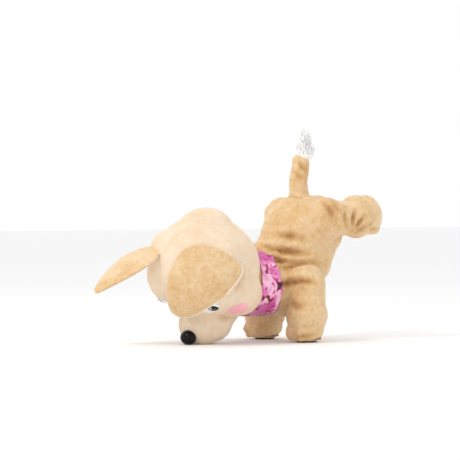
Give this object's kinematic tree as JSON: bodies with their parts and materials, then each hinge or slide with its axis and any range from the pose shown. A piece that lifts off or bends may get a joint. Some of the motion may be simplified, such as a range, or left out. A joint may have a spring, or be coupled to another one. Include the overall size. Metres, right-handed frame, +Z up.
{
  "type": "interactive plush puppy toy",
  "caption": "Battery-driven plush puppy that tips forward onto its front paws and muzzle, kicks its hind legs, nods and wags.",
  "frame": {"origin": "bottom centre of the toy's box, on the floor", "axes": "+Z up, the puppy faces -Y, its left side is +X; Y is the longest extent"},
  "size_m": [0.143, 0.3132, 0.2207],
  "materials": {
    "bandana_print": "printed satin",
    "board_green": "satin",
    "brass": "satin",
    "cell_case": "satin",
    "cheek_pink": "short velvet pile",
    "dark_plastic": "satin",
    "eye_plastic": "polished",
    "frame_plastic": "satin",
    "gear_plastic": "satin",
    "nose_black": "polished",
    "pad_rubber": "matte",
    "pile_white": "long pile",
    "plush_pale": "short velvet pile",
    "plush_tan": "short velvet pile",
    "sole_plastic": "satin",
    "steel": "brushed"
  },
  "bodies": {
    "front_frame": {"front_axle": "steel", "front_axle_clips": "steel", "front_leg_core_left": "frame_plastic", "front_leg_core_right": "frame_plastic", "front_leg_plush_left": "plush_tan", "front_leg_plush_right": "plush_tan", "front_pads": "pad_rubber", "front_sole_screws": "steel", "front_soles": "sole_plastic", "shoulder_gear": "gear_plastic"},
    "torso": {"axle_bushes": "brass", "bandana": "bandana_print", "battery_cells": "cell_case", "battery_contacts": "steel", "battery_door": "frame_plastic", "battery_door_screw": "steel", "battery_tray": "frame_plastic", "housing_screws": "steel", "kick_motor": "steel", "neck_post": "frame_plastic", "switch_body": "dark_plastic", "tail_bracket": "frame_plastic", "tail_pin": "steel", "tip_motor": "steel", "torso_housing_left": "frame_plastic", "torso_housing_right": "frame_plastic", "torso_plush": "plush_tan"},
    "hind_legs": {"hind_axle": "steel", "hind_axle_clips": "steel", "hind_leg_core_left": "frame_plastic", "hind_leg_core_right": "frame_plastic", "hind_leg_plush_left": "plush_tan", "hind_leg_plush_right": "plush_tan", "hind_pads": "pad_rubber", "hind_sole_screws": "steel", "hind_soles": "sole_plastic", "hip_gear": "gear_plastic"},
    "head": {"cheek_patches": "cheek_pink", "circuit_board": "board_green", "eye_left": "eye_plastic", "eye_right": "eye_plastic", "head_plush": "plush_tan", "head_shell_front": "frame_plastic", "head_shell_rear": "frame_plastic", "head_yoke": "frame_plastic", "nod_pin": "steel", "nose": "nose_black", "snap_washers": "frame_plastic", "speaker": "dark_plastic"},
    "tail": {"tail_lever": "steel", "tail_plush": "plush_tan", "tail_tuft": "pile_white"},
    "tip_pinion": {"tip_pinion": "gear_plastic"},
    "kick_pinion": {"kick_pinion": "gear_plastic"},
    "left_ear": {"ear_left": "plush_tan", "ear_lining_left": "plush_pale"},
    "right_ear": {"ear_right": "plush_tan", "ear_lining_right": "plush_pale"},
    "touch_button": {"touch_button": "frame_plastic"},
    "power_switch": {"switch_slider": "dark_plastic"}
  },
  "joints": [
    {"name": "tip_over", "type": "hinge", "parent": "front_frame", "child": "torso", "pos_m": [0.00055, 0.06749, 0.06], "axis": [1, 0, 0], "range_deg": [-66, 0]},
    {"name": "tip_pinion_spin", "type": "hinge", "parent": "torso", "child": "tip_pinion", "pos_m": [0.00055, 0.06651, 0.08798], "axis": [1, 0, 0], "range_deg": [-199, 1]},
    {"name": "hind_kick", "type": "hinge", "parent": "torso", "child": "hind_legs", "pos_m": [0.00055, 0.08897, 0.1261], "axis": [1, 0, 0], "range_deg": [-36, 4]},
    {"name": "kick_pinion_spin", "type": "hinge", "parent": "torso", "child": "kick_pinion", "pos_m": [0.00055, 0.07727, 0.11113], "axis": [1, 0, 0], "range_deg": [-7.86, 62.71]},
    {"name": "head_nod", "type": "hinge", "parent": "torso", "child": "head", "pos_m": [0.00055, 0.02349, 0.061], "axis": [1, 0, 0], "range_deg": [-15, 0]},
    {"name": "left_ear_lift", "type": "hinge", "parent": "head", "child": "left_ear", "pos_m": [0.06526, -0.03852, 0.08596], "axis": [-0.0831, -0.5262, 0.8463], "range_deg": [0, 30], "stiffness_Nm_per_rad": 0.02},
    {"name": "right_ear_lift", "type": "hinge", "parent": "head", "child": "right_ear", "pos_m": [-0.04159, -0.07898, 0.09985], "axis": [-0.8847, 0.1255, -0.449], "range_deg": [-30, 15], "stiffness_Nm_per_rad": 0.06},
    {"name": "tail_wag", "type": "hinge", "parent": "torso", "child": "tail", "pos_m": [0.00055, 0.08579, 0.14869], "axis": [0, 1, 0], "range_deg": [-25, 25]},
    {"name": "button_press", "type": "slide", "parent": "head", "child": "touch_button", "axis": [-0.3601, 0.865, -0.3494], "range_m": [0, 0.0015], "stiffness_N_per_m": 400},
    {"name": "switch_slide", "type": "slide", "parent": "torso", "child": "power_switch", "axis": [1, 0, 0], "range_m": [0, 0.002]}
  ],
  "couplings": [
    {"joint": "tip_pinion_spin", "follows": "tip_over", "ratio": 3},
    {"joint": "kick_pinion_spin", "follows": "hind_kick", "ratio": -1.7143}
  ]
}
